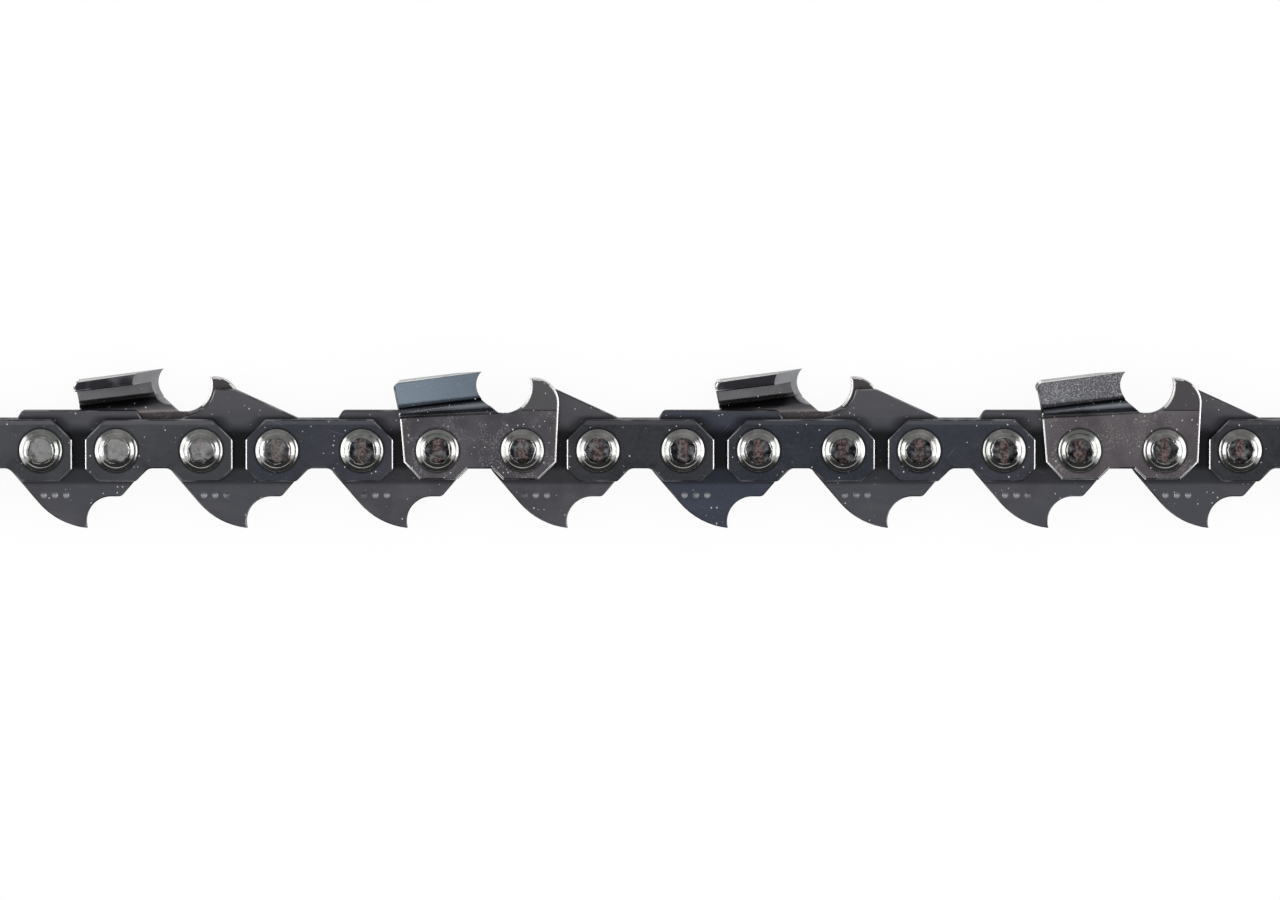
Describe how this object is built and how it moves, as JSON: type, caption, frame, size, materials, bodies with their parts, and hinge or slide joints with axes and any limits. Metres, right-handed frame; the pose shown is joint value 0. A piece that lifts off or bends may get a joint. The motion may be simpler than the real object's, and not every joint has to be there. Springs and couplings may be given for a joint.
{
  "type": "chainsaw chain",
  "caption": "Straight length of saw chain: drive links, tie straps and left and right cutters with depth gauges, hinged on headed rivets.",
  "frame": {"origin": "under the middle of the middle link pair, on the rivet line, at the height of the lowest point when the chain lies on its side", "axes": "+X along the chain in the cutting direction, +Y from the drive tangs to the cutters, +Z across the chain, up from the surface it lies on"},
  "size_m": [0.1888, 0.0188, 0.0074],
  "materials": {
    "link_steel": "dark blued steel with fine scratches and bright ground edges",
    "cutter_steel": "satin hard chrome over grey steel, ground bright at the cutting edge",
    "rivet_steel": "bright peened rivet heads with a mottled centre"
  },
  "bodies": {
    "link_pair_0": {"near_tie_strap_0": "link_steel", "far_tie_strap_0": "link_steel", "rivet_0_rear": "rivet_steel", "rivet_0_front": "rivet_steel"},
    "link_pair_1": {"near_tie_strap_1": "link_steel", "far_cutter_1": "cutter_steel", "rivet_1_rear": "rivet_steel", "rivet_1_front": "rivet_steel"},
    "link_pair_2": {"near_tie_strap_2": "link_steel", "far_tie_strap_2": "link_steel", "rivet_2_rear": "rivet_steel", "rivet_2_front": "rivet_steel"},
    "link_pair_3": {"near_cutter_3": "cutter_steel", "far_tie_strap_3": "link_steel", "rivet_3_rear": "rivet_steel", "rivet_3_front": "rivet_steel"},
    "link_pair_4": {"near_tie_strap_4": "link_steel", "far_tie_strap_4": "link_steel", "rivet_4_rear": "rivet_steel", "rivet_4_front": "rivet_steel"},
    "link_pair_5": {"near_tie_strap_5": "link_steel", "far_cutter_5": "cutter_steel", "rivet_5_rear": "rivet_steel", "rivet_5_front": "rivet_steel"},
    "link_pair_6": {"near_tie_strap_6": "link_steel", "far_tie_strap_6": "link_steel", "rivet_6_rear": "rivet_steel", "rivet_6_front": "rivet_steel"},
    "link_pair_7": {"near_cutter_7": "cutter_steel", "far_tie_strap_7": "link_steel", "rivet_7_rear": "rivet_steel", "rivet_7_front": "rivet_steel"},
    "link_pair_8": {"near_tie_strap_8": "link_steel", "far_tie_strap_8": "link_steel", "rivet_8_rear": "rivet_steel", "rivet_8_front": "rivet_steel"},
    "drive_0": {"drive_link_0": "link_steel"},
    "drive_1": {"drive_link_1": "link_steel"},
    "drive_2": {"drive_link_2": "link_steel"},
    "drive_3": {"drive_link_3": "link_steel"},
    "drive_4": {"drive_link_4": "link_steel"},
    "drive_5": {"drive_link_5": "link_steel"},
    "drive_6": {"drive_link_6": "link_steel"},
    "drive_7": {"drive_link_7": "link_steel"},
    "drive_8": {"drive_link_8": "link_steel"},
    "drive_9": {"drive_link_9": "link_steel"}
  },
  "joints": [
    {"name": "pivot_link_pair_4_to_drive_5", "type": "hinge", "parent": "link_pair_4", "child": "drive_5", "pos_m": [0.00505, 0, 0.0037], "axis": [0, 0, 1], "range_deg": [-30, 18]},
    {"name": "pivot_drive_5_to_link_pair_5", "type": "hinge", "parent": "drive_5", "child": "link_pair_5", "pos_m": [0.01401, 0, 0.0037], "axis": [0, 0, 1], "range_deg": [-30, 18]},
    {"name": "pivot_link_pair_5_to_drive_6", "type": "hinge", "parent": "link_pair_5", "child": "drive_6", "pos_m": [0.02409, 0, 0.0037], "axis": [0, 0, 1], "range_deg": [-30, 22]},
    {"name": "pivot_drive_6_to_link_pair_6", "type": "hinge", "parent": "drive_6", "child": "link_pair_6", "pos_m": [0.03306, 0, 0.0037], "axis": [0, 0, 1], "range_deg": [-30, 22]},
    {"name": "pivot_link_pair_6_to_drive_7", "type": "hinge", "parent": "link_pair_6", "child": "drive_7", "pos_m": [0.04315, 0, 0.0037], "axis": [0, 0, 1], "range_deg": [-30, 18]},
    {"name": "pivot_drive_7_to_link_pair_7", "type": "hinge", "parent": "drive_7", "child": "link_pair_7", "pos_m": [0.0521, 0, 0.0037], "axis": [0, 0, 1], "range_deg": [-30, 18]},
    {"name": "pivot_link_pair_7_to_drive_8", "type": "hinge", "parent": "link_pair_7", "child": "drive_8", "pos_m": [0.0622, 0, 0.0037], "axis": [0, 0, 1], "range_deg": [-30, 22]},
    {"name": "pivot_drive_8_to_link_pair_8", "type": "hinge", "parent": "drive_8", "child": "link_pair_8", "pos_m": [0.07115, 0, 0.0037], "axis": [0, 0, 1], "range_deg": [-30, 22]},
    {"name": "pivot_link_pair_8_to_drive_9", "type": "hinge", "parent": "link_pair_8", "child": "drive_9", "pos_m": [0.08124, 0, 0.0037], "axis": [0, 0, 1], "range_deg": [-30, 18]},
    {"name": "pivot_link_pair_4_to_drive_4", "type": "hinge", "parent": "link_pair_4", "child": "drive_4", "pos_m": [-0.00505, 0, 0.0037], "axis": [0, 0, 1], "range_deg": [-22, 30]},
    {"name": "pivot_drive_4_to_link_pair_3", "type": "hinge", "parent": "drive_4", "child": "link_pair_3", "pos_m": [-0.01401, 0, 0.0037], "axis": [0, 0, 1], "range_deg": [-22, 30]},
    {"name": "pivot_link_pair_3_to_drive_3", "type": "hinge", "parent": "link_pair_3", "child": "drive_3", "pos_m": [-0.02409, 0, 0.0037], "axis": [0, 0, 1], "range_deg": [-18, 30]},
    {"name": "pivot_drive_3_to_link_pair_2", "type": "hinge", "parent": "drive_3", "child": "link_pair_2", "pos_m": [-0.03306, 0, 0.0037], "axis": [0, 0, 1], "range_deg": [-18, 30]},
    {"name": "pivot_link_pair_2_to_drive_2", "type": "hinge", "parent": "link_pair_2", "child": "drive_2", "pos_m": [-0.04315, 0, 0.0037], "axis": [0, 0, 1], "range_deg": [-22, 30]},
    {"name": "pivot_drive_2_to_link_pair_1", "type": "hinge", "parent": "drive_2", "child": "link_pair_1", "pos_m": [-0.0521, 0, 0.0037], "axis": [0, 0, 1], "range_deg": [-22, 30]},
    {"name": "pivot_link_pair_1_to_drive_1", "type": "hinge", "parent": "link_pair_1", "child": "drive_1", "pos_m": [-0.0622, 0, 0.0037], "axis": [0, 0, 1], "range_deg": [-18, 30]},
    {"name": "pivot_drive_1_to_link_pair_0", "type": "hinge", "parent": "drive_1", "child": "link_pair_0", "pos_m": [-0.07115, 0, 0.0037], "axis": [0, 0, 1], "range_deg": [-18, 30]},
    {"name": "pivot_link_pair_0_to_drive_0", "type": "hinge", "parent": "link_pair_0", "child": "drive_0", "pos_m": [-0.08124, 0, 0.0037], "axis": [0, 0, 1], "range_deg": [-22, 30]}
  ]
}
